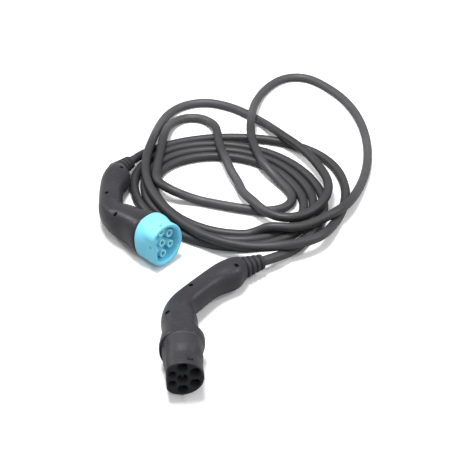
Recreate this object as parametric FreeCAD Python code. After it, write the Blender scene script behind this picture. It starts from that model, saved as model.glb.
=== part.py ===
import FreeCAD, Part
import math
import os

# Charging cable with a station plug and a vehicle connector, lying on a floor.
# Millimetres, Z up, the floor is the plane z = 0.
# A handle is drawn in its own frame: the front face looks along -X, the body runs back along +X and
# bends towards -Y. It is then tipped a little, turned and set on the floor.

V = FreeCAD.Vector
os.makedirs("parts", exist_ok=True)

# cable
CABLE_RADIUS = 6.5
FLOOR_CLEARANCE = 0.1
LAYER_CLEARANCE = 1.0
CORD_Z = CABLE_RADIUS + FLOOR_CLEARANCE
OVER_Z = CORD_Z + 2 * CABLE_RADIUS + LAYER_CLEARANCE

# handle centreline
BEND_AT = 130.2
BEND_ANGLE = 42.8
BEND_RADIUS = 47.0
END_BEND_AT = 198.0
END_BEND_ANGLE = 24.0
END_BEND_RADIUS = 120.0
SHELL_FRONT = 52.5
SHELL_BACK = 253.0
SHELL_WALL = 2.6
FLANGE_BACK = 244.0
FLANGE_THICKNESS = 3.0
FLANGE_RADIUS = 14.0
NECK_RADIUS = 11.5
FIT = 0.15

# station along the centreline, width in the bend's plane, thickness across it, sideways shift
SHELL_SECTIONS = [
    (52.5, 51.0, 59.0, 0.0),
    (75.0, 49.0, 55.0, 0.0),
    (100.0, 47.2, 50.2, 0.0),
    (122.0, 40.4, 42.4, 0.0),
    (140.0, 36.0, 38.0, 0.0),
    (158.0, 35.6, 37.4, 0.0),
    (175.0, 35.2, 36.8, 0.0),
    (190.0, 35.6, 36.4, -0.5),
    (207.0, 38.5, 38.0, -2.5),
    (222.0, 42.0, 40.4, -4.0),
    (235.0, 42.0, 40.2, -4.0),
    (246.0, 37.0, 36.6, -2.0),
    (253.0, 31.6, 31.6, 0.0),
]
SECTION_SQUARENESS = 2.35

# shell screws: station, sideways offset
SCREWS = [(101.0, 15.0), (161.0, 4.5), (236.0, -12.0)]
BOSS_RADIUS = 3.8
SCREW_SHANK_RADIUS = 1.5
SCREW_HEAD_RADIUS = 2.75
SCREW_HEAD_HEIGHT = 2.2
SCREW_HEAD_Z = 6.0
SCREW_DEPTH = 9.0
SCREW_SOCKET_RADIUS = 1.35
COUNTERBORE_RADIUS = 3.1

# seal ring between the shells and the front housing
SEAL_FRONT = 50.0
SEAL_WIDTH = 51.2
SEAL_HEIGHT = 59.1
SPIGOT_BACK = 62.0
SPIGOT_WALL = 2.4
SPIGOT_CLEARANCE = 0.8

# contact layout: row of three across the handle's plane, pair towards the bend, signals by the flat
ROW_PITCH = 17.5
PAIR_Y = -15.1
PAIR_Z = 8.75
SIGNAL_Y = 12.2
SIGNAL_Z = 7.35

# station plug
PLUG_NOSE_RADIUS = 26.0
PLUG_FLAT = 19.5
PLUG_SHIFT = 3.0
PLUG_WALL = 2.0
PLUG_CORNER = 10.0
PLUG_SHOULDER = 35.0
PLUG_BODY = [(35.0, 47.5, 54.5), (38.0, 49.5, 57.0), (50.0, 50.5, 58.5)]
PLUG_ROOM = (48.0, 55.0)
ROOM_DEPTH = 6.0
INSERT_FRONT = 0.3
PLUG_INSERT_BACK = 37.0
PLUG_FLANGE = 3.0
PLUG_RIM = 1.0
RIM_CLEARANCE = 0.2
CAVITY_DEPTH = 28.0
POWER_CAVITY = 5.7
SIGNAL_CAVITY = 3.9
SLOT = (6.5, -9.8, 6.0, 6.5)
SLOT_DEPTH = 1.3
NOTCH = (44.0, 12.0, 5.0, 3.0)
NOTCH_DEPTH = 3.5
POWER_PIN = 3.0
SIGNAL_PIN = 1.5
PIN_SEAT_EXTRA = 0.3
PIN_TIP = 9.0
EARTH_TIP = 6.0
SIGNAL_TIP = 11.0
PIN_CHAMFER = 0.9
BARREL_LENGTH = 12.0
POWER_BARREL = 4.0
SIGNAL_BARREL = 2.4

# vehicle connector
MOUTH = 12.0
SKIRT_RADIUS = 31.5
SKIRT_FLAT = 23.0
SKIRT_WALL = 3.0
SKIRT_SHIFT = 4.0
SKIRT_CORNER = 12.0
LOCK_HOLE = (19.0, 6.5)
LOCK_HOLE_RADIUS = 2.0
DIMPLE = (20.5, 3.3)
DIMPLE_RADIUS = 1.6
DIMPLE_DEPTH = 0.9
COLLAR = [(36.0, 56.0, 63.0), (39.0, 59.5, 66.0), (47.0, 59.5, 66.0), (50.0, 57.0, 63.5)]
CARRIER_FRONT = 34.0
CARRIER_BACK = 43.0
SLEEVE_FRONT = 20.0
POWER_SLEEVE = 5.7
SIGNAL_SLEEVE = 3.9
SLEEVE_LIP = 3.0
SLEEVE_LIP_CLEARANCE = 0.25
POWER_SOCKET = 4.3
SIGNAL_SOCKET = 2.6
POWER_BORE = 3.05
SIGNAL_BORE = 1.55
SOCKET_BORE_BACK = 48.0
SOCKET_WEB = 4.0
SOCKET_TAIL = 17.0

# bend relief boots: length past the shell, radii at the base and the tip, turn of each boot
BOOT_LENGTH = 34.0
BOOT_BASE = 12.6
BOOT_TIP = 8.6
RIB_BASE = 14.4
RIB_TIP = 10.4
RIB_COUNT = 5
RIB_SHARE = 0.62
PLUG_BOOT_TURN = 0.0
CONNECTOR_BOOT_TURN = 15.0

# where each handle lies: centre of its front plane on the floor, heading of its body, tip angle
PLUG_AT = (21.6, -243.21)
PLUG_HEADING = 96.4
PLUG_TIP_ANGLE = 3.3
CONNECTOR_AT = (-2.41, 1.96)
CONNECTOR_HEADING = 138.3
CONNECTOR_TIP_ANGLE = 4.4
TIP_DIRECTION = -26.0

# loose coil of three turns
COIL_CENTRE = (76.08, 167.08)
COIL_TURN = -38.0
COIL_OUTER = (154.0, 134.0)
COIL_BAND = 41.0
COIL_HEIGHT = 2 * CABLE_RADIUS + 0.4
COIL_EDGE = 4.0

COIL_ENTRY = [(176.6, 43.1, CORD_Z), (190.1, 70.1, CORD_Z), (204.1, 101.1, CORD_Z), (213.1, 141.1, CORD_Z)]
COIL_EXIT = [
    (66.1, 65.1, CORD_Z),
    (96.1, 53.6, 11.0),
    (124.6, 45.6, OVER_Z),
    (152.1, 54.1, OVER_Z),
]
STUB_RUN = 27.0
LOOSE_START = (202.1, 82.1, OVER_Z)
LOOSE_RUN = [
    (230.6, 101.1, 24.5),
    (254.6, 137.6, 16.5),
    (277.6, 197.6, CORD_Z),
    (289.6, 241.1, 7.0),
    (296.6, 294.1, CORD_Z),
    (296.6, 349.1, CORD_Z),
    (288.6, 402.6, CORD_Z),
    (272.1, 451.6, CORD_Z),
    (247.6, 491.6, CORD_Z),
    (218.6, 524.6, CORD_Z),
    (189.1, 533.1, CORD_Z),
    (160.6, 522.6, CORD_Z),
    (133.6, 487.1, CORD_Z),
    (115.6, 438.6, 10.0),
    (107.6, 364.1, 27.0),
    (105.6, 334.6, 19.5),
    (109.1, 290.6, OVER_Z),
    (117.6, 256.1, 21.5),
    (126.1, 230.1, 20.0),
    (144.1, 207.6, 9.5),
    (165.6, 174.1, CORD_Z),
    (156.6, 137.1, CORD_Z),
    (123.6, 118.6, CORD_Z),
    (86.6, 131.1, CORD_Z),
    (52.6, 142.6, CORD_Z),
    (22.1, 153.1, 7.0),
    (-15.9, 158.1, OVER_Z),
    (-41.4, 184.1, OVER_Z),
    (-40.9, 223.1, OVER_Z),
    (-37.9, 269.1, OVER_Z),
    (-34.9, 319.1, 21.5),
    (-33.4, 362.6, 9.0),
    (-8.9, 388.6, CORD_Z),
    (26.6, 388.6, CORD_Z),
    (51.1, 363.1, 9.0),
    (50.1, 323.1, 22.0),
    (55.1, 283.1, 21.0),
    (66.1, 245.6, 21.0),
    (73.6, 217.6, 17.0),
    (86.1, 193.1, 10.5),
    (92.1, 163.1, 13.5),
    (107.1, 128.1, 22.5),
    (121.6, 94.6, OVER_Z),
    (153.1, 78.6, OVER_Z),
    (187.6, 86.1, OVER_Z),
    (210.1, 113.6, OVER_Z),
    (213.6, 151.1, OVER_Z),
    (221.1, 192.6, OVER_Z),
    (210.6, 226.1, OVER_Z),
    (197.1, 257.1, OVER_Z),
    (179.1, 286.6, OVER_Z),
    (159.1, 310.1, 22.0),
    (137.6, 357.1, 11.5),
    (108.6, 396.6, CORD_Z),
    (74.6, 426.6, CORD_Z),
    (33.1, 443.6, CORD_Z),
    (-5.9, 434.6, 7.0),
    (-33.9, 405.1, CORD_Z),
    (-47.9, 351.1, 12.0),
    (-52.9, 285.6, 27.0),
    (-58.4, 249.6, 26.5),
    (-59.4, 215.6, 21.5),
    (-52.9, 178.1, OVER_Z),
    (-38.9, 141.6, OVER_Z),
    (-19.4, 106.6, OVER_Z),
    (7.6, 72.1, OVER_Z),
    (40.6, 43.1, OVER_Z),
    (76.1, 26.6, OVER_Z),
    (112.6, 18.6, 21.5),
    (150.1, 22.6, 21.5),
    (179.6, 32.6, OVER_Z),
    (205.6, 47.1, OVER_Z),
    (229.1, 95.1, 9.0),
    (243.1, 132.6, CORD_Z),
    (250.6, 171.6, CORD_Z),
    (248.6, 210.6, CORD_Z),
    (237.6, 247.1, CORD_Z),
    (216.1, 277.6, CORD_Z),
    (188.1, 299.1, CORD_Z),
    (154.6, 316.1, CORD_Z),
    (118.6, 325.1, CORD_Z),
    (80.6, 328.1, CORD_Z),
    (42.6, 326.6, CORD_Z),
    (5.6, 319.1, CORD_Z),
    (-28.4, 305.6, 7.0),
    (-58.4, 286.1, CORD_Z),
]


def radians(angle):
    return angle * math.pi / 180.0


def centreline(station):
    """Point and heading of the handle's centreline at a distance from its front plane."""
    first = BEND_AT - BEND_RADIUS * math.tan(radians(BEND_ANGLE) / 2)
    bends = [(first, BEND_ANGLE, BEND_RADIUS), (END_BEND_AT, END_BEND_ANGLE, END_BEND_RADIUS)]
    point = V(0, 0, 0)
    heading = 0.0
    reached = 0.0
    for start, angle, radius in bends:
        run = min(station, start) - reached
        point = point + V(math.cos(heading), math.sin(heading), 0) * run
        if station <= start:
            return point, heading
        turned = min((station - start) / radius, radians(angle))
        after = heading - turned
        x = math.sin(heading) - math.sin(after)
        y = math.cos(after) - math.cos(heading)
        point = point + V(x, y, 0) * radius
        heading = after
        reached = start + turned * radius
        if station <= reached:
            return point, heading
    return point + V(math.cos(heading), math.sin(heading), 0) * (station - reached), heading


def section(station, width, thickness, shift=0.0):
    """Rounded closed section square to the centreline."""
    point, heading = centreline(station)
    side = V(-math.sin(heading), math.cos(heading), 0)
    power = 2.0 / SECTION_SQUARENESS
    points = []
    for i in range(20):
        angle = 2 * math.pi * i / 20
        c = math.cos(angle)
        s = math.sin(angle)
        u = math.copysign(abs(c) ** power, c) * width / 2 + shift
        v = math.copysign(abs(s) ** power, s) * thickness / 2
        points.append(point + side * u + V(0, 0, v))
    curve = Part.BSplineCurve()
    curve.interpolate(Points=points, PeriodicFlag=True)
    return Part.Wire([curve.toShape()])


def body(sections, inset=0.0, front=None, back=None):
    """Smooth solid through the sections, all drawn in by the inset."""
    rows = [(row + (0.0,))[:4] for row in sections]
    if front is not None:
        rows = [(front,) + rows[0][1:]] + [row for row in rows if row[0] > front + 1]
    if back is not None:
        rows = [row for row in rows if row[0] < back - 1] + [between(sections, back)]
    wires = [section(s, w - 2 * inset, t - 2 * inset, shift) for s, w, t, shift in rows]
    return Part.makeLoft(wires, True, False)


def between(sections, station):
    """Section sizes at a station between two given ones."""
    rows = [(row + (0.0,))[:4] for row in sections]
    for a, b in zip(rows, rows[1:]):
        if a[0] <= station <= b[0]:
            share = (station - a[0]) / (b[0] - a[0])
            return tuple(p + (q - p) * share for p, q in zip(a, b))
    return rows[-1]


def rod(radius, start, end, y=0.0, z=0.0):
    """Round bar along X."""
    return Part.makeCylinder(radius, end - start, V(start, y, z), V(1, 0, 0))


def d_bar(radius, flat, shift, corner, start, end):
    """Bar along X with a round section cut flat on its +Y side, and rounded corners beside the flat."""
    bar = rod(radius, start, end, shift)
    box = Part.makeBox(end - start + 2, 2 * radius, 2 * radius + 2)
    box.translate(V(start - 1, shift + flat, -radius - 1))
    bar = bar.cut(box)
    corners = []
    for edge in bar.Edges:
        low, high = edge.BoundBox.YMin, edge.BoundBox.YMax
        if edge.BoundBox.XLength > end - start - 0.01 and min(low, high) > shift + flat - 0.01:
            corners.append(edge)
    return bar.makeFillet(corner, corners)


def nose_bar(inset, start, end):
    """The plug nose's D section, drawn in by the inset."""
    return d_bar(PLUG_NOSE_RADIUS - inset, PLUG_FLAT - inset, PLUG_SHIFT, PLUG_CORNER - inset, start, end)


def skirt_bar(inset, start, end):
    """The connector skirt's D section, drawn in by the inset."""
    return d_bar(SKIRT_RADIUS - inset, SKIRT_FLAT - inset, SKIRT_SHIFT, SKIRT_CORNER - inset, start, end)


def power_places(shift):
    """Line and neutral contacts, the earth contact apart."""
    return [(shift, ROW_PITCH), (shift, -ROW_PITCH), (shift + PAIR_Y, PAIR_Z), (shift + PAIR_Y, -PAIR_Z)]


def signal_places(shift):
    return [(shift + SIGNAL_Y, SIGNAL_Z), (shift + SIGNAL_Y, -SIGNAL_Z)]


def screw_place(screw):
    point, heading = centreline(screw[0])
    return point + V(-math.sin(heading), math.cos(heading), 0) * screw[1]


def column(place, radius, low, high):
    return Part.makeCylinder(radius, high - low, V(place.x, place.y, low), V(0, 0, 1))


def end_axis(station):
    """Placement whose Z runs along the grip's straight end."""
    point, heading = centreline(station)
    direction = V(math.cos(heading), math.sin(heading), 0)
    return FreeCAD.Placement(point, FreeCAD.Rotation(V(0, 0, 1), direction))


def shells():
    """Upper and lower half shells of the handle with their screw bosses."""
    outer = body(SHELL_SECTIONS)
    inner = body(SHELL_SECTIONS, SHELL_WALL, SHELL_FRONT - 2, FLANGE_BACK)
    wall = outer.cut(inner)
    neck = Part.makeCylinder(NECK_RADIUS, 40)
    neck.Placement = end_axis(FLANGE_BACK - 5)
    wall = wall.cut(neck)
    bosses = [column(screw_place(s), BOSS_RADIUS, -40, 40).common(outer) for s in SCREWS]
    whole = wall.fuse(bosses)
    box = Part.makeBox(400, 400, 60)
    box.translate(V(-50, -250, 0))
    upper = whole.common(box)
    lower = whole.cut(box)
    for screw in SCREWS:
        place = screw_place(screw)
        upper = upper.cut(column(place, SCREW_SHANK_RADIUS + FIT, -1, 40))
        upper = upper.cut(column(place, COUNTERBORE_RADIUS, SCREW_HEAD_Z, 40))
        lower = lower.cut(column(place, SCREW_SHANK_RADIUS, -SCREW_DEPTH - 0.5, 1))
    return upper, lower


def screws():
    """Shell screws with a hexagonal socket."""
    out = []
    for screw in SCREWS:
        place = screw_place(screw)
        shank = column(place, SCREW_SHANK_RADIUS, -SCREW_DEPTH, SCREW_HEAD_Z + 0.5)
        head = column(place, SCREW_HEAD_RADIUS, SCREW_HEAD_Z, SCREW_HEAD_Z + SCREW_HEAD_HEIGHT)
        corners = []
        for i in range(7):
            angle = math.pi * i / 3
            x = place.x + SCREW_SOCKET_RADIUS * math.cos(angle)
            y = place.y + SCREW_SOCKET_RADIUS * math.sin(angle)
            corners.append(V(x, y, SCREW_HEAD_Z + 1.0))
        socket = Part.Face(Part.makePolygon(corners)).extrude(V(0, 0, 3))
        out.append(shank.fuse(head).cut(socket))
    return out


def spigot_sizes(clearance):
    """Sections of the tube that holds the shells' front edge from inside."""
    rows = [between(SHELL_SECTIONS, s) for s in (SHELL_FRONT, SPIGOT_BACK)]
    inset = 2 * (SHELL_WALL + clearance)
    front = (SEAL_FRONT - 4, rows[0][1] - inset, rows[0][2] - inset)
    middle = (SHELL_FRONT, rows[0][1] - inset, rows[0][2] - inset)
    back = (SPIGOT_BACK, rows[1][1] - inset, rows[1][2] - inset)
    return [front, middle, back]


def seal_ring():
    """Ring in the joint between the front housing and the shells."""
    outer = body([(SEAL_FRONT, SEAL_WIDTH, SEAL_HEIGHT), (SHELL_FRONT, SEAL_WIDTH, SEAL_HEIGHT)])
    return outer.cut(body(spigot_sizes(SPIGOT_CLEARANCE / 2)))


def hollow_back(front):
    """Room inside the spigot and behind the contacts."""
    sizes = spigot_sizes(SPIGOT_CLEARANCE / 2)
    start = (front,) + sizes[0][1:]
    end = (SPIGOT_BACK + 1,) + sizes[-1][1:]
    return body([start, end], SPIGOT_WALL)


def plug_housing():
    """Front housing of the station plug with a D nose."""
    nose = nose_bar(0, 0, PLUG_SHOULDER + 6)
    nose = nose.makeChamfer(1.0, front_edges(nose, 0))
    solid = nose.fuse([body(PLUG_BODY), body(spigot_sizes(SPIGOT_CLEARANCE / 2))])
    bore = nose_bar(PLUG_WALL, -1, PLUG_INSERT_BACK + 1)
    solid = solid.cut([bore, plug_room(0.0), hollow_back(PLUG_INSERT_BACK + ROOM_DEPTH - 1)])
    slot = Part.makeBox(SLOT[2], SLOT[3], PLUG_NOSE_RADIUS, V(SLOT[0], SLOT[1], 5))
    slot = slot.cut(rod(PLUG_NOSE_RADIUS - SLOT_DEPTH, 0, PLUG_SHOULDER, PLUG_SHIFT))
    side = between(PLUG_BODY, NOTCH[0])[1] / 2 - NOTCH_DEPTH
    notch = Part.makeBox(NOTCH[2], 6.0, NOTCH[3], V(NOTCH[0], side, NOTCH[1]))
    return solid.cut([slot, notch])


def plug_room(clearance):
    """Space behind the insert inside the housing."""
    width, height = PLUG_ROOM
    ends = [(PLUG_INSERT_BACK, width, height), (PLUG_INSERT_BACK + ROOM_DEPTH, width, height)]
    return body(ends, PLUG_WALL + clearance)


def front_edges(shape, x):
    """Edges that lie in the plane at x."""
    edges = []
    for edge in shape.Edges:
        low = edge.BoundBox.XMin
        high = edge.BoundBox.XMax
        if abs(low - x) < 0.01 and abs(high - x) < 0.01:
            edges.append(edge)
    return edges


def plug_insert():
    """Front block of the plug, flush with the nose, with a cavity around each pin."""
    solid = nose_bar(PLUG_WALL, INSERT_FRONT, CAVITY_DEPTH)
    cuts = []
    for y, z in power_places(PLUG_SHIFT) + [(PLUG_SHIFT, 0)]:
        cuts.append(rod(POWER_CAVITY, 0, CAVITY_DEPTH + 1, y, z))
    for y, z in signal_places(PLUG_SHIFT):
        cuts.append(rod(SIGNAL_CAVITY, 0, CAVITY_DEPTH + 1, y, z))
    return solid.cut(cuts)


def plug_pin_holder():
    """Block behind the cavities that holds the pins, with a rim against the housing."""
    back = PLUG_INSERT_BACK + PLUG_FLANGE
    solid = nose_bar(PLUG_WALL, CAVITY_DEPTH, PLUG_INSERT_BACK)
    rim = nose_bar(PLUG_WALL - PLUG_RIM, PLUG_INSERT_BACK, back)
    solid = solid.fuse(rim.common(plug_room(RIM_CLEARANCE)))
    cuts = []
    for y, z in power_places(PLUG_SHIFT) + [(PLUG_SHIFT, 0)]:
        cuts.append(rod(POWER_PIN + PIN_SEAT_EXTRA, CAVITY_DEPTH - 1, back + 1, y, z))
    for y, z in signal_places(PLUG_SHIFT):
        cuts.append(rod(SIGNAL_PIN + PIN_SEAT_EXTRA, CAVITY_DEPTH - 1, back + 1, y, z))
    return solid.cut(cuts)


def pin(radius, tip, barrel, y, z):
    """Round pin with a chamfered tip and a crimp barrel behind the carrier."""
    back = PLUG_INSERT_BACK + PLUG_FLANGE
    cone = Part.makeCone(radius - PIN_CHAMFER, radius, PIN_CHAMFER, V(tip, y, z), V(1, 0, 0))
    shaft = rod(radius, tip + PIN_CHAMFER, CAVITY_DEPTH + 1, y, z)
    seat = rod(radius + PIN_SEAT_EXTRA, CAVITY_DEPTH, back + 1, y, z)
    crimp = rod(barrel, back, back + BARREL_LENGTH, y, z)
    wire_hole = rod(barrel - 1.0, back + 4, back + BARREL_LENGTH + 1, y, z)
    return cone.fuse([shaft, seat, crimp]).cut(wire_hole)


def connector_housing():
    """Coloured front of the vehicle connector: skirt, collar and spigot in one moulding."""
    skirt = skirt_bar(0, MOUTH, COLLAR[1][0] + 1)
    skirt = skirt.makeChamfer(1.0, front_edges(skirt, MOUTH))
    solid = skirt.fuse([body(COLLAR), body(spigot_sizes(SPIGOT_CLEARANCE / 2))])
    bore = skirt_bar(SKIRT_WALL, MOUTH - 1, CARRIER_BACK)
    solid = solid.cut([bore, hollow_back(CARRIER_BACK - 1)])
    hole = Part.makeCylinder(LOCK_HOLE_RADIUS, SKIRT_RADIUS, V(LOCK_HOLE[0], LOCK_HOLE[1], POWER_SLEEVE + ROW_PITCH))
    flat = SKIRT_SHIFT + SKIRT_FLAT
    dimple = Part.makeCylinder(DIMPLE_RADIUS, 2.0, V(DIMPLE[0], flat - DIMPLE_DEPTH, DIMPLE[1]), V(0, 1, 0))
    return solid.cut([hole, dimple])


def connector_carrier():
    """Contact carrier of the connector: a base with seven sleeves."""
    solid = skirt_bar(SKIRT_WALL, CARRIER_FRONT, CARRIER_BACK)
    sleeves = []
    cuts = []
    for y, z in power_places(SKIRT_SHIFT) + [(SKIRT_SHIFT, 0)]:
        sleeves.append(rod(POWER_SLEEVE, SLEEVE_FRONT, CARRIER_FRONT + 1, y, z))
        cuts += socket_cuts(POWER_BORE, POWER_SOCKET, y, z)
    for y, z in signal_places(SKIRT_SHIFT):
        sleeves.append(rod(SIGNAL_SLEEVE, SLEEVE_FRONT, CARRIER_FRONT + 1, y, z))
        cuts += socket_cuts(SIGNAL_BORE, SIGNAL_SOCKET, y, z)
    return solid.fuse(sleeves).cut(cuts)


def socket_cuts(bore, outside, y, z):
    lip = rod(bore + SLEEVE_LIP_CLEARANCE, SLEEVE_FRONT - 1, SLEEVE_FRONT + SLEEVE_LIP + 1, y, z)
    seat = rod(outside, SLEEVE_FRONT + SLEEVE_LIP, CARRIER_BACK + 1, y, z)
    return [lip, seat]


def socket(bore, outside, y, z):
    """Tubular contact with a closed back."""
    front = SLEEVE_FRONT + SLEEVE_LIP
    back = CARRIER_BACK + SOCKET_TAIL
    tube = rod(outside, front, back, y, z)
    hole = rod(bore, front - 1, SOCKET_BORE_BACK, y, z)
    wire_hole = rod(outside - 1.0, SOCKET_BORE_BACK + SOCKET_WEB, back + 1, y, z)
    return tube.cut([hole, wire_hole])


def boot_frame(distance, turn):
    """Placement on the boot's centreline, its Z along the boot."""
    base = end_axis(SHELL_BACK)
    direction = base.Rotation.multVec(V(0, 0, 1))
    left = V(-direction.y, direction.x, 0)
    if turn == 0:
        return FreeCAD.Placement(base.Base + direction * distance, base.Rotation)
    radius = BOOT_LENGTH / radians(turn)
    angle = distance / radius
    point = base.Base + direction * (radius * math.sin(angle)) - left * (radius * (1 - math.cos(angle)))
    heading = direction * math.cos(angle) - left * math.sin(angle)
    return FreeCAD.Placement(point, FreeCAD.Rotation(V(0, 0, 1), heading))


def boot_slice(start, end, radius_start, radius_end, turn):
    """Part of a boot between two distances along it."""
    wires = []
    for distance, radius in ((start, radius_start), ((start + end) / 2, (radius_start + radius_end) / 2), (end, radius_end)):
        frame = boot_frame(distance, turn)
        axis = frame.Rotation.multVec(V(0, 0, 1))
        wires.append(Part.Wire([Part.makeCircle(radius, frame.Base, axis)]))
    return Part.makeLoft(wires, True, False)


def boot(turn):
    """Bend relief boot: flange inside the shells, neck, ribbed tapering sleeve."""
    flange = Part.makeCylinder(FLANGE_RADIUS, FLANGE_THICKNESS)
    flange.Placement = end_axis(FLANGE_BACK - FLANGE_THICKNESS)
    neck = Part.makeCylinder(NECK_RADIUS, SHELL_BACK - FLANGE_BACK + 1.5)
    neck.Placement = end_axis(FLANGE_BACK - 0.5)
    pieces = [flange, neck, boot_slice(0, BOOT_LENGTH, BOOT_BASE, BOOT_TIP, turn)]
    pitch = BOOT_LENGTH / RIB_COUNT
    for i in range(RIB_COUNT):
        start = i * pitch
        end = start + pitch * RIB_SHARE
        taper = (RIB_BASE - RIB_TIP) / BOOT_LENGTH
        pieces.append(boot_slice(start, end, RIB_BASE - taper * start, RIB_BASE - taper * end, turn))
        if i < RIB_COUNT - 1:
            pieces.append(bridge(i, end, start + pitch, turn))
    return pieces[0].fuse(pieces[1:]).removeSplitter()


def bridge(index, start, end, turn):
    """Block that joins a rib to the next one, on opposite sides in turn."""
    middle = boot_frame((start + end) / 2, turn)
    taper = (RIB_BASE - RIB_TIP) / BOOT_LENGTH
    reach = RIB_BASE - taper * end - 0.4
    width = 9.0
    length = end - start + 1.0
    block = Part.makeBox(2 * reach, width, length, V(-reach, -width / 2, -length / 2))
    round_bar = Part.makeCylinder(reach, length, V(0, 0, -length / 2))
    block = block.common(round_bar)
    spin = FreeCAD.Rotation(V(0, 0, 1), 90.0 * (index % 2) + 20.0)
    block.Placement = FreeCAD.Placement(middle.Base, middle.Rotation.multiply(spin))
    return block


def tipped(at, heading, angle):
    """Placement that tips a handle towards its grip, then turns it to its heading."""
    axis = V(-math.sin(radians(TIP_DIRECTION)), math.cos(radians(TIP_DIRECTION)), 0)
    tip = FreeCAD.Placement(V(0, 0, 0), FreeCAD.Rotation(axis, angle))
    turn = FreeCAD.Placement(V(at[0], at[1], 0), FreeCAD.Rotation(V(0, 0, 1), heading))
    return turn.multiply(tip)


def lowest(shapes):
    return min(shape.optimalBoundingBox(False, False).ZMin for shape in shapes)


def put(shapes, placement):
    out = []
    for shape in shapes:
        copy = shape.copy()
        copy.Placement = placement.multiply(shape.Placement)
        out.append(copy)
    return out


def tube(points, radius, name):
    """Round tube along straight runs joined by tangent arcs."""
    points = [V(*p) for p in points]
    edges = []
    at = points[0]
    length = 0.0
    radii = []
    for before, corner, after in zip(points, points[1:], points[2:]):
        to = (corner - before).normalize()
        out = (after - corner).normalize()
        half = to.getAngle(out) / 2
        reach = 0.45 * min((corner - before).Length, (after - corner).Length)
        start = corner - to * reach
        end = corner + out * reach
        bend = reach / math.tan(half)
        inward = (out - to).normalize()
        middle = corner + inward * (bend / math.cos(half) - bend)
        edges.append(Part.LineSegment(at, start).toShape())
        edges.append(Part.Arc(start, middle, end).toShape())
        length += (start - at).Length + bend * 2 * half
        radii.append(bend)
        at = end
    edges.append(Part.LineSegment(at, points[-1]).toShape())
    length += (points[-1] - at).Length
    path = Part.Wire(edges)
    circle = Part.Wire([Part.makeCircle(radius, points[0], points[1] - points[0])])
    solid = path.makePipeShell([circle], True, False)
    share = solid.Volume / (math.pi * radius ** 2 * length)
    print(name, "length", round(length), "least radius", round(min(radii)), "volume share", round(share, 4))
    print(name, "radii", [round(r) for r in radii])
    return solid


def oval_prism(inset):
    """Oval block in the coil's outline, drawn in by the inset."""
    curve = Part.Ellipse(V(0, 0, 0), COIL_OUTER[0] - inset, COIL_OUTER[1] - inset)
    block = Part.Face(Part.Wire([curve.toShape()])).extrude(V(0, 0, COIL_HEIGHT))
    turn = FreeCAD.Rotation(V(0, 0, 1), COIL_TURN)
    block.Placement = FreeCAD.Placement(V(COIL_CENTRE[0], COIL_CENTRE[1], 0), turn)
    return block


def behind(point, ahead, distance):
    """Point on the line from ahead through the given point, further back by the distance."""
    line = (V(*point) - V(*ahead)).normalize()
    return tuple(V(*point) + line * distance)


def coil():
    """Outer shape of the three coiled turns, with the two cable stubs that leave it."""
    ring = oval_prism(0).cut(oval_prism(COIL_BAND))
    ring = ring.makeFillet(COIL_EDGE, [e for e in ring.Edges if e.Closed])
    entry = tube(COIL_ENTRY, CABLE_RADIUS, "coil entry")
    exit_route = COIL_EXIT + [behind(LOOSE_START, LOOSE_RUN[0], STUB_RUN), LOOSE_START]
    exit_stub = tube(exit_route, CABLE_RADIUS, "coil exit")
    return ring.fuse([entry, exit_stub])


def save(name, shapes):
    if len(shapes) == 1:
        shape = shapes[0]
        shape = shape.Solids[0] if len(shape.Solids) == 1 else shape
    else:
        shape = Part.makeCompound(shapes)
    solids = len(shape.Solids)
    print(name, "solids", solids, "valid", shape.isValid(), "volume", round(shape.Volume))
    shape.exportStep(os.path.join("parts", name + ".step"))


def plug_pieces():
    upper, lower = shells()
    power = [pin(POWER_PIN, PIN_TIP, POWER_BARREL, y, z) for y, z in power_places(PLUG_SHIFT)]
    signal = [pin(SIGNAL_PIN, SIGNAL_TIP, SIGNAL_BARREL, y, z) for y, z in signal_places(PLUG_SHIFT)]
    return {
        "plug_shell_upper": [upper],
        "plug_shell_lower": [lower],
        "plug_screws": screws(),
        "plug_housing": [plug_housing()],
        "plug_seal": [seal_ring()],
        "plug_insert": [plug_insert()],
        "plug_pin_holder": [plug_pin_holder()],
        "plug_earth_pin": [pin(POWER_PIN, EARTH_TIP, POWER_BARREL, PLUG_SHIFT, 0)],
        "plug_power_pins": power,
        "plug_signal_pins": signal,
        "plug_boot": [boot(PLUG_BOOT_TURN)],
    }


def connector_pieces():
    upper, lower = shells()
    power = [socket(POWER_BORE, POWER_SOCKET, y, z) for y, z in power_places(SKIRT_SHIFT)]
    signal = [socket(SIGNAL_BORE, SIGNAL_SOCKET, y, z) for y, z in signal_places(SKIRT_SHIFT)]
    return {
        "connector_shell_upper": [upper],
        "connector_shell_lower": [lower],
        "connector_screws": screws(),
        "connector_housing": [connector_housing()],
        "connector_seal": [seal_ring()],
        "connector_carrier": [connector_carrier()],
        "connector_earth_socket": [socket(POWER_BORE, POWER_SOCKET, SKIRT_SHIFT, 0)],
        "connector_power_sockets": power,
        "connector_signal_sockets": signal,
        "connector_boot": [boot(CONNECTOR_BOOT_TURN)],
    }


def set_down(pieces, at, heading, angle):
    """Place a handle's pieces so that the lowest of them rests on the floor."""
    placement = tipped(at, heading, angle)
    placed = {name: put(shapes, placement) for name, shapes in pieces.items()}
    drop = lowest([shape for shapes in placed.values() for shape in shapes])
    placement = FreeCAD.Placement(V(0, 0, -drop), FreeCAD.Rotation()).multiply(placement)
    placed = {name: put(shapes, placement) for name, shapes in pieces.items()}
    return placed, placement


def cable_end(placement, turn):
    """Tip of a placed boot, and a point further out on its axis."""
    frame = boot_frame(BOOT_LENGTH, turn)
    axis = frame.Rotation.multVec(V(0, 0, 1))
    tip = placement.multVec(frame.Base)
    return tip, placement.multVec(frame.Base + axis * 24.0)


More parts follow.
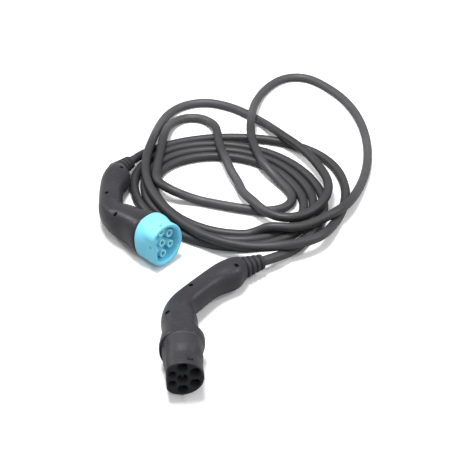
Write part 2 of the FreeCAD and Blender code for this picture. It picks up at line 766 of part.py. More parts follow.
plug, plug_placement = set_down(plug_pieces(), PLUG_AT, PLUG_HEADING, PLUG_TIP_ANGLE)
connector, connector_placement = set_down(
    connector_pieces(), CONNECTOR_AT, CONNECTOR_HEADING, CONNECTOR_TIP_ANGLE
)
for name, shapes in list(plug.items()) + list(connector.items()):
    save(name, shapes)

box = FreeCAD.BoundBox()
for shapes in list(plug.values()) + list(connector.values()):
    for shape in shapes:
        box.add(shape.optimalBoundingBox(False, False))
print("handles box centre", round(box.Center.x, 3), round(box.Center.y, 3), "lowest", round(box.ZMin, 4))

for name, placement in (("plug", plug_placement), ("connector", connector_placement)):
    corner = placement.multVec(V(0, 0, 0))
    along = placement.Rotation.multVec(V(1, 0, 0))
    side = placement.Rotation.multVec(V(0, 1, 0))
    up = placement.Rotation.multVec(V(0, 0, 1))
    print(name, "frame", [[round(v, 6) for v in vector] for vector in (corner, along, side, up)])

plug_tip, plug_next = cable_end(plug_placement, PLUG_BOOT_TURN)
connector_tip, connector_next = cable_end(connector_placement, CONNECTOR_BOOT_TURN)
print("plug cable end", [round(v, 2) for v in plug_tip], [round(v, 2) for v in plug_next])
print("connector cable end", [round(v, 2) for v in connector_tip], [round(v, 2) for v in connector_next])

lead_end = behind(COIL_ENTRY[0], COIL_ENTRY[1], STUB_RUN)
lead = [tuple(plug_tip), tuple(plug_next), lead_end, COIL_ENTRY[0]]
loose = [LOOSE_START] + LOOSE_RUN + [tuple(connector_next), tuple(connector_tip)]
save("cable_coil", [coil()])
save("cable_plug_lead", [tube(lead, CABLE_RADIUS, "plug lead")])
save("cable_loose_run", [tube(loose, CABLE_RADIUS, "loose run")])
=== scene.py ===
import bpy
import bmesh
import math
from mathutils import Matrix, Vector


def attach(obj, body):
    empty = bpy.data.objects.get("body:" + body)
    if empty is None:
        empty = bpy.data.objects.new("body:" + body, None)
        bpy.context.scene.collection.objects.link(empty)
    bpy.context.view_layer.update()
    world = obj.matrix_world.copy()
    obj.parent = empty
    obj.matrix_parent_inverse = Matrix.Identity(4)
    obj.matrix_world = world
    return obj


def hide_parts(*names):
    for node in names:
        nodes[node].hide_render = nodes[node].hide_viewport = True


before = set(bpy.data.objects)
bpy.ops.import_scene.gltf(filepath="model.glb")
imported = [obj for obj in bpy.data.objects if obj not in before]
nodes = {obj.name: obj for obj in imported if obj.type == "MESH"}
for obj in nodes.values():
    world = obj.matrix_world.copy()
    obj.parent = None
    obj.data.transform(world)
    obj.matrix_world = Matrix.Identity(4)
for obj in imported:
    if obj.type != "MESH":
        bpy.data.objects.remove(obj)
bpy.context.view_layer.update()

# metres, the part's own frame: the floor is z = 0
CABLE_RADIUS = 0.0070
LOW = 0.0071
OVER = 0.0212

PLUG_TIP = (0.1192, -0.0060, 0.01783)
CONNECTOR_TIP = (-0.08399, 0.24163, 0.01711)

# cable route from the plug's boot to the coil
LEAD = [
    PLUG_TIP,
    (0.1400, 0.0058, 0.0168),
    (0.1550, 0.0210, 0.0105),
    (0.1710, 0.0390, LOW),
    (0.1890, 0.0660, LOW),
    (0.2060, 0.0990, LOW),
    (0.2150, 0.1320, LOW),
]
# off the coil's inner turn and over the other two
EXIT = [
    (0.1105, 0.0685, 0.0110),
    (0.1280, 0.0680, OVER),
    (0.1451, 0.0655, 0.0225),
    (0.1638, 0.0656, 0.0215),
    (0.1798, 0.0692, OVER),
]
# the loose loops, ending in the connector's boot
LOOSE = [
    (0.2021, 0.0821, OVER),
    (0.2306, 0.1011, 0.0245),
    (0.2546, 0.1376, 0.0165),
    (0.2776, 0.1976, LOW),
    (0.2896, 0.2411, 0.0070),
    (0.2966, 0.2941, LOW),
    (0.2966, 0.3491, LOW),
    (0.2886, 0.4026, LOW),
    (0.2721, 0.4516, LOW),
    (0.2476, 0.4916, LOW),
    (0.2186, 0.5246, LOW),
    (0.1891, 0.5331, LOW),
    (0.1606, 0.5226, LOW),
    (0.1336, 0.4871, LOW),
    (0.1156, 0.4386, 0.0100),
    (0.1076, 0.3641, 0.0275),
    (0.1056, 0.3346, 0.0195),
    (0.1091, 0.2906, OVER),
    (0.1176, 0.2561, 0.0215),
    (0.1261, 0.2301, 0.0200),
    (0.1441, 0.2076, 0.0095),
    (0.1704, 0.1649, LOW),
    (0.1608, 0.1342, LOW),
    (0.1282, 0.1229, LOW),
    (0.0895, 0.1316, LOW),
    (0.0526, 0.1426, LOW),
    (0.0221, 0.1531, 0.0070),
    (-0.0159, 0.1581, OVER),
    (-0.0414, 0.1841, OVER),
    (-0.0409, 0.2231, OVER),
    (-0.0379, 0.2691, OVER),
    (-0.0356, 0.3145, 0.0215),
    (-0.0301, 0.3632, 0.0105),
    (-0.0079, 0.3905, LOW),
    (0.0244, 0.3905, LOW),
    (0.0470, 0.3632, 0.0105),
    (0.0519, 0.3198, 0.0220),
    (0.0551, 0.2831, 0.0210),
    (0.0661, 0.2456, 0.0210),
    (0.0736, 0.2176, 0.0170),
    (0.0861, 0.1931, 0.0105),
    (0.0921, 0.1631, 0.0135),
    (0.1066, 0.1308, 0.0220),
    (0.1203, 0.1090, OVER),
    (0.1474, 0.0871, OVER),
    (0.1820, 0.0943, OVER),
    (0.2079, 0.1214, OVER),
    (0.2223, 0.1558, OVER),
    (0.2225, 0.1901, OVER),
    (0.2106, 0.2261, OVER),
    (0.1971, 0.2571, OVER),
    (0.1791, 0.2866, OVER),
    (0.1591, 0.3101, 0.0220),
    (0.1376, 0.3571, 0.0115),
    (0.1086, 0.3966, LOW),
    (0.0746, 0.4266, LOW),
    (0.0331, 0.4436, LOW),
    (-0.0059, 0.4346, 0.0070),
    (-0.0339, 0.4051, LOW),
    (-0.0479, 0.3511, 0.0120),
    (-0.0529, 0.2856, 0.0270),
    (-0.0584, 0.2496, 0.0265),
    (-0.0594, 0.2156, 0.0215),
    (-0.0529, 0.1781, OVER),
    (-0.0389, 0.1416, OVER),
    (-0.0194, 0.1066, OVER),
    (0.0076, 0.0721, OVER),
    (0.0406, 0.0431, OVER),
    (0.0761, 0.0266, OVER),
    (0.1126, 0.0160, 0.0240),
    (0.1501, 0.0186, 0.0260),
    (0.1806, 0.0306, 0.0230),
    (0.2056, 0.0471, OVER),
    (0.2291, 0.0951, 0.0090),
    (0.2431, 0.1326, LOW),
    (0.2506, 0.1716, LOW),
    (0.2486, 0.2106, LOW),
    (0.2376, 0.2471, LOW),
    (0.2161, 0.2776, LOW),
    (0.1881, 0.2991, LOW),
    (0.1546, 0.3161, LOW),
    (0.1186, 0.3251, LOW),
    (0.0806, 0.3281, LOW),
    (0.0426, 0.3266, LOW),
    (0.0056, 0.3191, LOW),
    (-0.0284, 0.3056, 0.0070),
    (-0.0584, 0.2861, LOW),
    (-0.0707, 0.2616, 0.0161),
    CONNECTOR_TIP,
]

# coil of three turns, wound inwards: each turn moves in over the same short stretch
COIL_CENTRE = (0.07608, 0.16708)
COIL_HEADING = math.radians(-38.0)
COIL_OUTER = (0.1473, 0.1273)
COIL_TURNS = 3
COIL_START = 47.0
COIL_END = 1032.0
COIL_POINTS = 39
STEP_FROM = 289.0
STEP_TO = 366.0
INNER_STEP = 0.0278
# unevenness of all turns: metres, waves in a turn and phase
COIL_WAVES = [(0.0012, 2, 0.6), (0.0008, 3, 2.0)]
# where the outer and the inner turn leave their ovals: metres, angle and width in degrees
OUTER_BULGES = [(0.0205, 186, 42), (0.004, 120, 40)]
INNER_BULGES = [(0.0125, 192, 36), (-0.0065, 62, 30), (-0.002, 300, 40)]

# each handle's place as in the part's source, in mm and degrees: front centre, heading and tip angle
PLUG_PLACE = ((21.6, -243.21, 32.6074), 96.4, 3.3)
CONNECTOR_PLACE = ((-2.41, 1.96, 36.5534), 138.3, 4.4)
TIP_DIRECTION = math.radians(-26.0)

# D sections of the two fronts, in mm: radius, flat, corner radius and shift towards the flat
NOSE_SHIFT = 3.0
NOSE = (26.0, 19.5, 10.0, NOSE_SHIFT)
SKIRT = (31.5, 23.0, 12.0, 4.0)
RING_POINTS = 144
# the handles' sections lie between an oval, which has 1, and a rectangle, which has 0
HANDLE_EXPONENT = 0.851

# plug front, in mm: handle sections as width and height, the soft shoulder, and the rim as station and inset
SPIGOT_BACK = 62.0
FRONT_BACK = 50.0
SEAL_LIP = 0.2
PLUG_RINGS = 49
PLUG_SPIGOT = (45.0, 53.0)
PLUG_SMALL = (49.2, 56.8)
PLUG_LARGE = (51.0, 58.9)
PLUG_SWELL_FROM = 36.0
SHOULDER_FROM = 19.0
SHOULDER_LENGTH = 16.0
PLUG_RIM = [(1.2, 0.0), (0.5, 0.2), (0.1, 0.7), (0.0, 1.2), (0.1, 1.7), (0.5, 2.0), (3.0, 2.0)]

# plug face, in mm: centres, radii and chamfered mouths of the cavities
FACE_WALL = 2.0
FACE_FRONT = 0.4
FACE_BACK = 6.0
CAVITY_BACK = 29.0
POWER_PLACES = [(0.0, 0.0), (0.0, 17.5), (0.0, -17.5), (-15.1, 8.75), (-15.1, -8.75)]
SIGNAL_PLACES = [(12.2, 7.35), (12.2, -7.35)]
POWER_CAVITY = (5.7, 7.35)
SIGNAL_CAVITY = (3.9, 5.4)
CAVITY_POINTS = 36
# the chamfer behind a mouth: depth and step in from the mouth, depth and step out from the bore, whole depth
MOUTH_EDGE = (0.3, 0.35)
MOUTH_FOOT = (1.5, 0.4)
MOUTH_DEPTH = 2.1

# connector front, in mm: sections as width and height, how the collar swells and blends, and the skirt's rim
CONNECTOR_SPIGOT = (51.0, 57.5)
SEAL_FACE = (52.0, 58.0)
COLLAR_BACK = (56.4, 63.0)
COLLAR = (57.0, 63.5)
COLLAR_RINGS = 35
COLLAR_SWELL = 2.5
COLLAR_ROUND = 3.5
COLLAR_FROM = 24.0
COLLAR_LENGTH = 17.0
SKIRT_RIM = [
    (14.2, 0.0), (13.0, 0.35), (12.3, 1.0), (12.0, 1.9), (12.0, 3.6),
    (12.3, 4.8), (13.2, 5.7), (14.8, 6.1), (24.0, 6.2), (34.2, 6.2),
]

# recesses, in mm: station from and to, side from and to, height from and to, depth
# the plug's slot on top of the nose and its notch beside the seam, their faces painted near-black as painted
# shade
PLUG_MARKS = [
    (6.4, 12.6, -9.9, -3.2, 10.0, 40.0, 3.4),
    (43.4, 48.6, 10.0, 40.0, 9.5, 15.5, 2.2),
]
# the connector's dimple in the flat side and its lock hole on top, their faces a darker blue as painted
# shade
CONNECTOR_MARKS = [
    (18.8, 22.2, 20.0, 40.0, 1.2, 5.4, 0.9),
    (17.2, 20.8, 4.2, 8.6, 20.0, 40.0, 1.6),
]

# boots, in metres: headings of their axes, and radii at the shell and at the cable
PLUG_BOOT_HEADING = (0.869, 0.493, -0.0433)
PLUG_BOOT_RADII = (0.0162, 0.0108)
CONNECTOR_BOOT_HEADING = (0.5525, 0.8325, -0.0433)
CONNECTOR_BOOT_RADII = (0.0150, 0.0104)
BOOT_REACH = 0.036
BOOT_RIBBED = 0.034
BOOT_STEPS = 68
BOOT_POINTS = 48
GROOVES = 4.35
GROOVE_PHASE = 0.42
GROOVE_DEPTH = 0.0034
# the boots' ends: station and inset at the shell and at the cable, then station and radius of the last lip
BOOT_REAR = [(-0.004, 0.0020), (-0.002, 0.0004)]
BOOT_FRONT = (0.0348, 0.0012)
BOOT_LIP = [(0.0358, 0.0082), (BOOT_REACH, 0.0060)]

# surfaces: noise scales per metre, and in metres the grain's height and how far the coil's painted shade can
# reach
DRIFT_SCALE = 18.0
DUST_SCALE = 260.0
DUST_COLOUR = (0.30, 0.29, 0.28, 1)
GRAIN_HEIGHT = 0.0004
TURNING_SCALE = 900.0
COIL_REACH = 0.25
# painted shade: how bright the cable is at shares of that reach from the coil's centre, just above the floor
COIL_PAINTED_SHADE = [(0.26, 0.95), (0.42, 0.50), (0.66, 0.50), (0.86, 1.05)]
COIL_SHADE_HEIGHT = 0.01

# stage, in metres: half the floor's side, and the photograph's view
FLOOR_REACH = 6.0
FLOOR_WHITE = 0.93
FLOOR_GREY = 0.42
SOFT_LIGHT = 0.50
CAMERA_PLACE = (0.0806, -1.0724, 0.897)
CAMERA_TILT = math.radians(52.0)
LENS = 76.6
SENSOR = 36.0


def bump(degrees, centre, width):
    away = (degrees - centre + 180.0) % 360.0 - 180.0
    return math.exp(-((away / width) ** 2))


def bulge(degrees, bulges):
    return sum(size * bump(degrees, centre, width) for size, centre, width in bulges)


def coil_points():
    """Turns on the floor, each a step further in than the last, wider apart at the left and right."""
    points = []
    for i in range(COIL_POINTS + 1):
        degrees = COIL_START + (COIL_END - COIL_START) * i / COIL_POINTS
        angle = math.radians(degrees)
        steps = 0.0
        for turn in range(COIL_TURNS):
            share = (degrees - 360.0 * turn - STEP_FROM) / (STEP_TO - STEP_FROM)
            share = min(max(share, 0.0), 1.0)
            steps += share * share * (3 - 2 * share)
        wave = sum(size * math.sin(count * angle + phase) for size, count, phase in COIL_WAVES)
        outer = wave + bulge(degrees, OUTER_BULGES)
        inner = wave - INNER_STEP + bulge(degrees, INNER_BULGES)
        offset = outer + (inner - outer) * steps / (COIL_TURNS - 1)
        along = (COIL_OUTER[0] + offset) * math.cos(angle)
        across = (COIL_OUTER[1] + offset) * math.sin(angle)
        x = COIL_CENTRE[0] + along * math.cos(COIL_HEADING) - across * math.sin(COIL_HEADING)
        y = COIL_CENTRE[1] + along * math.sin(COIL_HEADING) + across * math.cos(COIL_HEADING)
        points.append((x, y, LOW))
    return points


def add_to_scene(obj):
    bpy.context.scene.collection.objects.link(obj)


def make_cable(material):
    """The one cable, from the plug's boot to the connector's boot."""
    points = LEAD + coil_points() + EXIT + LOOSE
    curve = bpy.data.curves.new("cable", "CURVE")
    curve.dimensions = "3D"
    spline = curve.splines.new("NURBS")
    spline.points.add(len(points) - 1)
    for point, place in zip(spline.points, points):
        point.co = (*place, 1.0)
    spline.order_u = 3
    spline.use_endpoint_u = True
    spline.resolution_u = 10
    curve.bevel_depth = CABLE_RADIUS
    curve.bevel_resolution = 5
    curve.use_fill_caps = True
    curve.materials.append(material)
    cable = bpy.data.objects.new("cable", curve)
    add_to_scene(cable)
    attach(cable, "root")
    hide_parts("cable_coil", "cable_plug_lead", "cable_loose_run")


def new_material(name):
    """A material with its shader, and the calls that add and join its nodes."""
    material = bpy.data.materials.new(name)
    material.use_nodes = True
    tree = material.node_tree
    return material, tree.nodes["Principled BSDF"], tree.nodes.new, tree.links.new


def noise(add, join, place, scale, detail=2.0):
    """Noise in the object's own space."""
    node = add("ShaderNodeTexNoise")
    node.inputs["Scale"].default_value = scale
    node.inputs["Detail"].default_value = detail
    join(place.outputs["Object"], node.inputs["Vector"])
    return node.outputs["Fac"]


def two_tone(add, join, factor, first, second):
    """Colour ramp between two places, each given with its colour."""
    ramp = add("ShaderNodeValToRGB")
    for element, (position, colour) in zip(ramp.color_ramp.elements, (first, second)):
        element.position = position
        element.color = (*colour, 1)
    join(factor, ramp.inputs["Fac"])
    return ramp.outputs["Color"]


def mix_colours(add, join, factor, first, second, blend="MIX"):
    """Mix of two colours; the factor and the second one may be a value or a socket."""
    mix = add("ShaderNodeMix")
    mix.data_type = "RGBA"
    mix.blend_type = blend
    join(first, mix.inputs[6])
    for entry, value in ((mix.inputs["Factor"], factor), (mix.inputs[7], second)):
        if isinstance(value, bpy.types.NodeSocket):
            join(value, entry)
        else:
            entry.default_value = value
    return mix.outputs[2]


def drifting_roughness(add, join, factor, shader, low, high):
    rough = add("ShaderNodeMapRange")
    rough.inputs["To Min"].default_value = low
    rough.inputs["To Max"].default_value = high
    join(factor, rough.inputs["Value"])
    join(rough.outputs["Result"], shader.inputs["Roughness"])


def plastic(name, colour, shade, roughness, grain, depth, shine, dust=0.0):
    """Moulded plastic or rubber: colour drift, fine grain, and dull or dusty patches."""
    material, shader, add, join = new_material(name)
    place = add("ShaderNodeTexCoord")
    drift = noise(add, join, place, DRIFT_SCALE, 4.0)
    surface = two_tone(add, join, drift, (0.30, shade), (0.72, colour))
    if dust > 0:
        specks = noise(add, join, place, DUST_SCALE, 6.0)
        amount = two_tone(add, join, specks, (0.56, (0, 0, 0)), (0.80, (dust, dust, dust)))
        surface = mix_colours(add, join, amount, surface, DUST_COLOUR)
    join(surface, shader.inputs["Base Color"])
    drifting_roughness(add, join, drift, shader, roughness - 0.07, roughness + 0.10)
    relief = add("ShaderNodeBump")
    relief.inputs["Strength"].default_value = depth
    relief.inputs["Distance"].default_value = GRAIN_HEIGHT
    join(noise(add, join, place, grain, 3.0), relief.inputs["Height"])
    join(relief.outputs["Normal"], shader.inputs["Normal"])
    shader.inputs["Specular IOR Level"].default_value = shine
    return material


def paint_shade_in_coil(material):
    """Painted shade: the cable's colour is darkened in a ring where the turns lie against each other, and
    the loose loops keep theirs.
    """
    tree = material.node_tree
    add, join = tree.nodes.new, tree.links.new
    base = tree.nodes["Principled BSDF"].inputs["Base Color"]
    colour = base.links[0].from_socket
    place = add("ShaderNodeTexCoord")
    away = add("ShaderNodeVectorMath")
    away.operation = "DISTANCE"
    away.inputs[1].default_value = (*COIL_CENTRE, COIL_SHADE_HEIGHT)
    reach = add("ShaderNodeMapRange")
    reach.inputs["From Max"].default_value = COIL_REACH
    band = add("ShaderNodeValToRGB")
    band.color_ramp.interpolation = "EASE"
    stops = band.color_ramp.elements
    stops[0].position = COIL_PAINTED_SHADE[0][0]
    stops[1].position = COIL_PAINTED_SHADE[-1][0]
    for position, level in COIL_PAINTED_SHADE[1:-1]:
        stops.new(position)
    for stop, (position, level) in zip(stops, COIL_PAINTED_SHADE):
        stop.color = (level, level, level, 1)
    join(place.outputs["Object"], away.inputs[0])
    join(away.outputs["Value"], reach.inputs["Value"])
    join(reach.outputs["Result"], band.inputs["Fac"])
    join(mix_colours(add, join, 1.0, colour, band.outputs["Color"], "MULTIPLY"), base)


def metal(name, colour, roughness):
    """Plated contact metal with fine turning marks."""
    material, shader, add, join = new_material(name)
    shader.inputs["Base Color"].default_value = (*colour, 1)
    shader.inputs["Metallic"].default_value = 1.0
    marks = noise(add, join, add("ShaderNodeTexCoord"), TURNING_SCALE)
    drifting_roughness(add, join, marks, shader, roughness - 0.08, roughness + 0.12)
    return material


def cover(material, *names):
    """Give CAD nodes a material."""
    for name in names:
        node = nodes[name]
        node.data.materials.clear()
        node.data.materials.append(material)


def handle_frame(start, heading, angle):
    """Origin and turn of a handle: along its axis, to its flat side, and up."""
    axis = Vector((-math.sin(TIP_DIRECTION), math.cos(TIP_DIRECTION), 0))
    tip = Matrix.Rotation(math.radians(angle), 3, axis)
    return Vector(start), Matrix.Rotation(math.radians(heading), 3, "Z") @ tip


def turns(count):
    """Evenly spaced angles round a circle."""
    return [2 * math.pi * i / count for i in range(count)]


def d_ring(section, inset=0.0):
    """D outline: a circle cut flat on its +Y side, with rounded corners."""
    radius, flat, corner, shift = section
    radius, flat, corner = radius - inset, flat - inset, corner - inset
    low = flat - corner
    high = math.sqrt((radius - corner) ** 2 - low ** 2)
    ring = []
    for turn in turns(RING_POINTS):
        c, s = math.cos(turn), math.sin(turn)
        away = radius
        if c > 0 and flat * abs(s) <= high * c:
            away = flat / c
        elif c > 0 and math.atan2(abs(s), c) < math.atan2(high, low):
            along = low * c + high * abs(s)
            away = along + math.sqrt(along ** 2 - (radius - corner) ** 2 + corner ** 2)
        ring.append((shift + away * c, away * s))
    return ring


def body_ring(size):
    """The handle's own rounded section, from its width and height."""
    ring = []
    for turn in turns(RING_POINTS):
        c, s = math.cos(turn), math.sin(turn)
        y = math.copysign(abs(c) ** HANDLE_EXPONENT, c) * size[0] / 2
        z = math.copysign(abs(s) ** HANDLE_EXPONENT, s) * size[1] / 2
        ring.append((y, z))
    return ring


def mixed(first, second, share):
    """Ring between two rings, by a smooth step of the share."""
    share = min(max(share, 0.0), 1.0)
    share = share * share * (3 - 2 * share)
    return [(a[0] + (b[0] - a[0]) * share, a[1] + (b[1] - a[1]) * share) for a, b in zip(first, second)]


def circle(radius, y, z):
    return [(y + radius * math.cos(turn), z + radius * math.sin(turn)) for turn in turns(CAVITY_POINTS)]


def inside(mark, station, y, z):
    low, high, left, right, bottom, top = mark[:6]
    return low <= station <= high and left <= y <= right and bottom <= z <= top


def add_ring(mesh, handle, station, ring, marks=()):
    """One ring of vertices; a mark pushes those inside its box towards the axis."""
    start, turn = handle
    made = []
    for y, z in ring:
        for mark in marks:
            if inside(mark, station, y, z):
                depth = mark[6]
                kept = 1 - depth / math.hypot(y, z)
                y, z = y * kept, z * kept
        made.append(mesh.verts.new((start + turn @ Vector((station, y, z))) / 1000))
    return made


def skin(mesh, first, second):
    """Smooth faces between two rings."""
    faces = []
    for i in range(len(first)):
        j = (i + 1) % len(first)
        face = mesh.faces.new((first[i], first[j], second[j], second[i]))
        face.smooth = True
        faces.append(face)
    return faces


def skin_marked(mesh, handle, rings, marks):
    """Skin over all rings; the faces in a mark take the second material."""
    made = [add_ring(mesh, handle, station, ring, marks) for station, ring in rings]
    for (station, ring), first, second in zip(rings, made, made[1:]):
        for (y, z), face in zip(ring, skin(mesh, first, second)):
            if any(inside(mark, station, y, z) for mark in marks):
                face.material_index = 1


def loop_edges(mesh, ring):
    return [mesh.edges.get((a, b)) for a, b in zip(ring, ring[1:] + ring[:1])]


def finish_piece(mesh, name, node, slot, *materials):
    """Turn the mesh into a piece that stands for a CAD node."""
    bmesh.ops.recalc_face_normals(mesh, faces=mesh.faces)
    data = bpy.data.meshes.new(name)
    mesh.to_mesh(data)
    mesh.free()
    for material in materials:
        data.materials.append(material)
    piece = bpy.data.objects.new(name, data)
    add_to_scene(piece)
    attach(piece, "root")
    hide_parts(node)


def plug_front(handle, plain, dark):
    """Nose of the plug: the D front runs into the handle's section in one soft shoulder."""
    rings = [(SPIGOT_BACK, body_ring(PLUG_SPIGOT))]
    for station in [FRONT_BACK + SEAL_LIP] + [FRONT_BACK - i for i in range(PLUG_RINGS)]:
        swell = max(station - PLUG_SWELL_FROM, 0.0) / (FRONT_BACK - PLUG_SWELL_FROM)
        size = [small + (large - small) * swell for small, large in zip(PLUG_SMALL, PLUG_LARGE)]
        share = (station - SHOULDER_FROM) / SHOULDER_LENGTH
        rings.append((station, mixed(d_ring(NOSE), body_ring(size), share)))
    rings += [(station, d_ring(NOSE, inset)) for station, inset in PLUG_RIM]
    mesh = bmesh.new()
    skin_marked(mesh, handle, rings, PLUG_MARKS)
    finish_piece(mesh, "plug_front", "plug_housing", "nose_black", plain, dark)


def plug_face(handle, material):
    """Front block of the plug with a chamfered cavity round each pin."""
    mesh = bmesh.new()
    outline = add_ring(mesh, handle, FACE_FRONT, d_ring(NOSE, FACE_WALL))
    skin(mesh, outline, add_ring(mesh, handle, FACE_BACK, d_ring(NOSE, FACE_WALL)))
    edges = loop_edges(mesh, outline)
    cavities = [(place, POWER_CAVITY) for place in POWER_PLACES]
    cavities += [(place, SIGNAL_CAVITY) for place in SIGNAL_PLACES]
    for (y, z), (inner, outer) in cavities:
        profile = [
            (FACE_FRONT, outer),
            (FACE_FRONT + MOUTH_EDGE[0], outer - MOUTH_EDGE[1]),
            (FACE_FRONT + MOUTH_FOOT[0], inner + MOUTH_FOOT[1]),
            (FACE_FRONT + MOUTH_DEPTH, inner),
            (CAVITY_BACK, inner),
        ]
        made = []
        for station, radius in profile:
            made.append(add_ring(mesh, handle, station, circle(radius, y + NOSE_SHIFT, z)))
        for first, second in zip(made, made[1:]):
            skin(mesh, first, second)
        edges += loop_edges(mesh, made[0])
    bmesh.ops.triangle_fill(mesh, edges=edges, use_beauty=True, use_dissolve=False)
    finish_piece(mesh, "plug_face", "plug_insert", "insert_black", material)


def connector_front(handle, plain, dark):
    """Blue front: a thick round-edged skirt that swells into the collar."""
    rings = [
        (SPIGOT_BACK, body_ring(CONNECTOR_SPIGOT)),
        (FRONT_BACK + SEAL_LIP, body_ring(SEAL_FACE)),
        (FRONT_BACK, body_ring(COLLAR_BACK)),
    ]
    for i in range(COLLAR_RINGS):
        station = FRONT_BACK - 0.5 - i
        rounding = min(1.0, (FRONT_BACK - station) / COLLAR_ROUND)
        swell = COLLAR_SWELL * math.sin(rounding * math.pi / 2)
        share = (station - COLLAR_FROM) / COLLAR_LENGTH
        collar = body_ring((COLLAR[0] + swell, COLLAR[1] + swell))
        rings.append((station, mixed(d_ring(SKIRT), collar, share)))
    rings += [(station, d_ring(SKIRT, inset)) for station, inset in SKIRT_RIM]
    mesh = bmesh.new()
    skin_marked(mesh, handle, rings, CONNECTOR_MARKS)
    finish_piece(mesh, "connector_front", "connector_housing", "nose_blue", plain, dark)


def boot(name, node, tip, heading, radii, material):
    """Ribbed boot that ends at the cable's tip, with four deep grooves between its ribs."""
    large, small = radii
    along = Vector(heading).normalized()
    side = along.cross(Vector((0, 0, 1))).normalized()
    up = side.cross(along)
    start = Vector(tip) - along * BOOT_REACH
    profile = [(station, large - inset) for station, inset in BOOT_REAR]
    for i in range(BOOT_STEPS + 1):
        share = i / BOOT_STEPS
        groove = 0.5 + 0.5 * math.cos(2 * math.pi * (share * GROOVES + GROOVE_PHASE))
        radius = large + (small - large) * share - GROOVE_DEPTH * groove ** 4
        profile.append((BOOT_RIBBED * share, radius))
    profile += [(BOOT_FRONT[0], small - BOOT_FRONT[1])] + BOOT_LIP
    mesh = bmesh.new()
    rings = []
    for station, radius in profile:
        centre = start + along * station
        spokes = [side * math.cos(turn) + up * math.sin(turn) for turn in turns(BOOT_POINTS)]
        rings.append([mesh.verts.new(centre + spoke * radius) for spoke in spokes])
    for first, second in zip(rings, rings[1:]):
        skin(mesh, first, second)
    finish_piece(mesh, name, node, "boot_rubber", material)


def camera_switch(add, join, for_light, for_camera):
    """One shader for what the camera sees directly, and another for all other light."""
    mix = add("ShaderNodeMixShader")
    join(add("ShaderNodeLightPath").outputs["Is Camera Ray"], mix.inputs["Fac"])
    join(for_light, mix.inputs[1])
    join(for_camera, mix.inputs[2])
    return mix.outputs["Shader"]


def stage_floor():
    """Plain pale floor: white for the camera, a darker level for the light it throws back."""
    corners = [(x * FLOOR_REACH, y * FLOOR_REACH, 0) for x, y in ((-1, -1), (1, -1), (1, 1), (-1, 1))]
    mesh = bpy.data.meshes.new("floor")
    mesh.from_pydata(corners, [], [(0, 1, 2, 3)])
    floor = bpy.data.objects.new("floor", mesh)
    add_to_scene(floor)
    material, white, add, join = new_material("floor_white")
    white.inputs["Base Color"].default_value = (FLOOR_WHITE, FLOOR_WHITE, FLOOR_WHITE, 1)
    white.inputs["Roughness"].default_value = 0.9
    white.inputs["Specular IOR Level"].default_value = 0.1
    grey = add("ShaderNodeBsdfDiffuse")
    grey.inputs["Color"].default_value = (FLOOR_GREY, FLOOR_GREY, FLOOR_GREY, 1)
    surface = camera_switch(add, join, grey.outputs["BSDF"], white.outputs["BSDF"])
    join(surface, material.node_tree.nodes["Material Output"].inputs["Surface"])
    mesh.materials.append(material)


def make_world():
    """White for the camera and a soft level for the light."""
    world = bpy.data.worlds.new("world")
    bpy.context.scene.world = world
    world.use_nodes = True
    add, join = world.node_tree.nodes.new, world.node_tree.links.new
    world.node_tree.nodes.clear()
    levels = []
    for strength in (SOFT_LIGHT, 1.0):
        background = add("ShaderNodeBackground")
        background.inputs["Color"].default_value = (1, 1, 1, 1)
        background.inputs["Strength"].default_value = strength
        levels.append(background.outputs["Background"])
    join(camera_switch(add, join, *levels), add("ShaderNodeOutputWorld").inputs["Surface"])


def area_light(name, place, target, size, power):
    data = bpy.data.lights.new(name, "AREA")
    data.shape = "DISK"
    data.size = size
    data.energy = power
    light = bpy.data.objects.new(name, data)
    light.location = place
    light.rotation_euler = (Vector(target) - Vector(place)).to_track_quat("-Z", "Y").to_euler()
    add_to_scene(light)


def make_camera():
    """The photograph's view: from the front, 38 degrees above the floor."""
    data = bpy.data.cameras.new("camera")
    data.lens = LENS
    data.sensor_width = SENSOR
    camera = bpy.data.objects.new("camera", data)
    camera.location = CAMERA_PLACE
    camera.rotation_euler = (CAMERA_TILT, 0.0, 0.0)
    add_to_scene(camera)
    bpy.context.scene.camera = camera


# the materials, each with its colour and the darker shade that it drifts to
handle_black = plastic(
    "handle_black",
    colour=(0.030, 0.029, 0.034),
    shade=(0.020, 0.019, 0.023),
    roughness=0.34,
    grain=1500.0,
    depth=0.35,
    shine=0.27,
    dust=0.08,
)
nose_black = plastic(
    "nose_black",
    colour=(0.030, 0.029, 0.034),
    shade=(0.020, 0.019, 0.023),
    roughness=0.42,
    grain=1500.0,
    depth=0.4,
    shine=0.24,
    dust=0.08,
)
insert_black = plastic(
    "insert_black",
    colour=(0.0200, 0.0205, 0.0235),
    shade=(0.0130, 0.0135, 0.0160),
    roughness=0.60,
    grain=1200.0,
    depth=0.4,
    shine=0.15,
)
# near-black painted shade for the faces inside the plug's slot and notch
painted_shade_black = plastic(
    "painted_shade_black",
    colour=(0.0045, 0.0045, 0.0050),
    shade=(0.0030, 0.0030, 0.0034),
    roughness=0.65,
    grain=1200.0,
    depth=0.3,
    shine=0.1,
)
seal_rubber = plastic(
    "seal_rubber",
    colour=(0.045, 0.044, 0.048),
    shade=(0.032, 0.031, 0.035),
    roughness=0.55,
    grain=900.0,
    depth=0.3,
    shine=0.3,
)
boot_rubber = plastic(
    "boot_rubber",
    colour=(0.032, 0.032, 0.036),
    shade=(0.022, 0.022, 0.025),
    roughness=0.52,
    grain=900.0,
    depth=0.4,
    shine=0.3,
    dust=0.10,
)
nose_blue = plastic(
    "nose_blue",
    colour=(0.225, 0.690, 0.900),
    shade=(0.175, 0.630, 0.850),
    roughness=0.38,
    grain=1400.0,
    depth=0.25,
    shine=0.4,
)
# darker blue painted shade for the faces inside the dimple and the lock hole
painted_shade_blue = plastic(
    "painted_shade_blue",
    colour=(0.060, 0.330, 0.480),
    shade=(0.045, 0.280, 0.420),
    roughness=0.50,
    grain=1200.0,
    depth=0.25,
    shine=0.3,
)
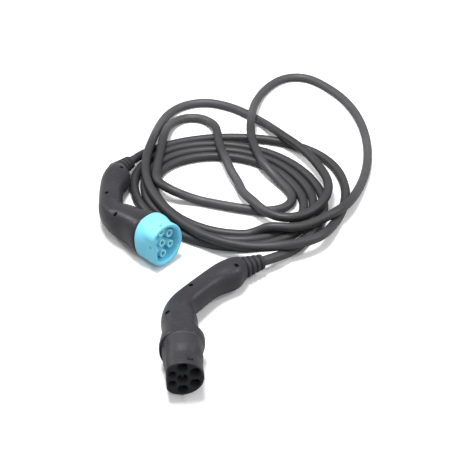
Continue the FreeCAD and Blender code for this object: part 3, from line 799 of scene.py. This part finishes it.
carrier_blue = plastic(
    "carrier_blue",
    colour=(0.360, 0.840, 0.960),
    shade=(0.300, 0.780, 0.930),
    roughness=0.45,
    grain=1200.0,
    depth=0.25,
    shine=0.4,
)
cable_jacket = plastic(
    "cable_jacket",
    colour=(0.066, 0.065, 0.070),
    shade=(0.050, 0.049, 0.053),
    roughness=0.46,
    grain=700.0,
    depth=0.35,
    shine=0.42,
    dust=0.10,
)
# painted shade in the coil's bundle, where the turns lie against each other
paint_shade_in_coil(cable_jacket)
contact_silver = metal("contact_silver", colour=(0.78, 0.77, 0.74), roughness=0.30)
# the plug's pins deep in their cavities: metal painted nearly black as painted shade
pin_painted_shade = metal("pin_painted_shade", colour=(0.045, 0.044, 0.043), roughness=0.6)
screw_steel = metal("screw_steel", colour=(0.10, 0.10, 0.11), roughness=0.45)

cover(handle_black, "plug_shell_upper", "plug_shell_lower", "connector_shell_upper", "connector_shell_lower")
cover(insert_black, "plug_pin_holder")
cover(seal_rubber, "plug_seal", "connector_seal")
cover(carrier_blue, "connector_carrier")
cover(screw_steel, "plug_screws", "connector_screws")
cover(pin_painted_shade, "plug_earth_pin", "plug_power_pins", "plug_signal_pins")
cover(contact_silver, "connector_earth_socket", "connector_power_sockets", "connector_signal_sockets")

plug = handle_frame(*PLUG_PLACE)
plug_front(plug, nose_black, painted_shade_black)
plug_face(plug, insert_black)
connector_front(handle_frame(*CONNECTOR_PLACE), nose_blue, painted_shade_blue)
boot("plug_cable_boot", "plug_boot", PLUG_TIP, PLUG_BOOT_HEADING, PLUG_BOOT_RADII, boot_rubber)
boot(
    "connector_cable_boot",
    "connector_boot",
    CONNECTOR_TIP,
    CONNECTOR_BOOT_HEADING,
    CONNECTOR_BOOT_RADII,
    boot_rubber,
)
make_cable(cable_jacket)

stage_floor()
make_world()
area_light("key", place=(-0.10, 0.15, 1.6), target=(0.05, 0.05, 0.0), size=0.5, power=30.0)
area_light("front", place=(0.55, -1.15, 1.15), target=(0.03, -0.05, 0.03), size=0.3, power=5.0)
area_light("right", place=(1.11, 0.12, 0.91), target=(0.05, -0.08, 0.04), size=0.25, power=5.0)
area_light("left", place=(-1.05, 0.72, 0.81), target=(-0.07, 0.05, 0.05), size=0.25, power=5.0)
make_camera()
bpy.context.scene.view_settings.view_transform = "Standard"
